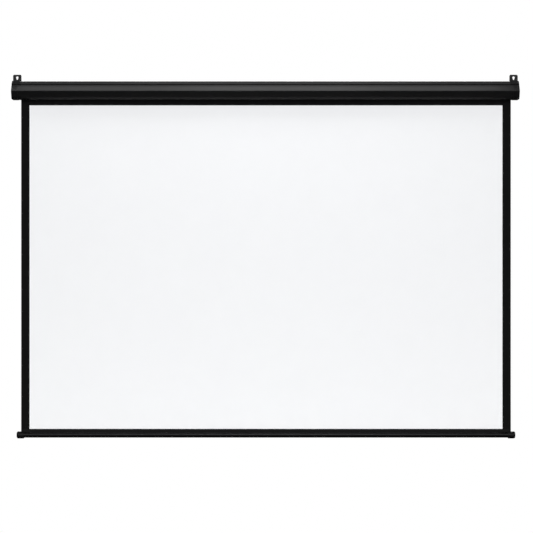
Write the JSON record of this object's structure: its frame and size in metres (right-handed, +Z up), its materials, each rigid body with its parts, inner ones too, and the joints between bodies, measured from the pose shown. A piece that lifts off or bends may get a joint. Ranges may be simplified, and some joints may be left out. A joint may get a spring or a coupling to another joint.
{
  "type": "projector screen",
  "caption": "Wall or ceiling hung electric projector screen: black case with end caps and hanging ears, motor roller, white sheet with black mask, weight bar.",
  "frame": {"origin": "middle of the case's flat back face, on the wall plane", "axes": "+X along the case to the viewer's right, +Y into the wall, +Z up"},
  "size_m": [2.2426, 0.083, 1.614],
  "materials": {
    "case_paint": "semi-gloss black powder coat on extruded aluminium",
    "cap_plastic": "moulded black plastic, fine texture",
    "bracket_paint": "black powder coat on bent steel",
    "inner_steel": "zinc plated steel",
    "black_screw": "black plated steel",
    "roller_aluminium": "mill finish",
    "bush_metal": "sintered bronze",
    "sheet_fabric": "matte white screen cloth with a printed black mask at its edges",
    "mask_fabric": "matte black printed screen cloth",
    "inner_plastic": "moulded grey plastic",
    "grommet_rubber": "matte black rubber",
    "adjuster_plastic": "moulded plastic"
  },
  "bodies": {
    "case": {"case_housing": "case_paint", "left_end_cap": "cap_plastic", "right_end_cap": "cap_plastic", "left_hanging_bracket": "bracket_paint", "right_hanging_bracket": "bracket_paint", "motor_bracket": "inner_steel", "idler_bracket": "inner_steel", "motor_head": "cap_plastic", "motor_tube": "inner_steel", "cable_grommet": "grommet_rubber", "idler_pin": "inner_steel", "screen_sheet": "sheet_fabric", "left_cap_screw_top": "black_screw", "left_cap_screw_bottom": "black_screw", "left_cap_screw_nose": "black_screw", "right_cap_screw_top": "black_screw", "right_cap_screw_bottom": "black_screw", "right_cap_screw_nose": "black_screw", "motor_plate_screw_upper": "inner_steel", "motor_plate_screw_lower": "inner_steel", "idler_plate_screw_upper": "inner_steel", "idler_plate_screw_lower": "inner_steel"},
    "roller": {"motor_crown": "cap_plastic", "output_shaft": "inner_steel", "drive_wheel": "inner_plastic", "idler_bush": "bush_metal", "idler_plug": "cap_plastic", "roller_tube": "roller_aluminium", "cloth_strip": "inner_plastic", "wound_leader": "mask_fabric"},
    "bar": {"bottom_hem": "mask_fabric", "hem_rod": "inner_steel", "weight_bar": "case_paint", "left_bar_cap": "cap_plastic", "right_bar_cap": "cap_plastic"},
    "upper_adjuster": {"upper_limit_adjuster": "adjuster_plastic"},
    "lower_adjuster": {"lower_limit_adjuster": "adjuster_plastic"}
  },
  "joints": [
    {"name": "bar_lift", "type": "slide", "parent": "case", "child": "bar", "axis": [0, 0, 1], "range_m": [0, 1.467], "deforming": ["screen_sheet"]},
    {"name": "roller_spin", "type": "hinge", "parent": "case", "child": "roller", "pos_m": [0, -0.0422, -0.004], "axis": [1, 0, 0], "range_deg": [0, 3290]},
    {"name": "upper_limit_turn", "type": "hinge", "parent": "case", "child": "upper_adjuster", "pos_m": [-1.1084, -0.0422, -0.025], "axis": [0, 0, 1], "continuous": true},
    {"name": "lower_limit_turn", "type": "hinge", "parent": "case", "child": "lower_adjuster", "pos_m": [-1.1, -0.0422, -0.025], "axis": [0, 0, 1], "continuous": true}
  ],
  "couplings": [
    {"joint": "roller_spin", "follows": "bar_lift", "rad_per_m": 39.11}
  ]
}
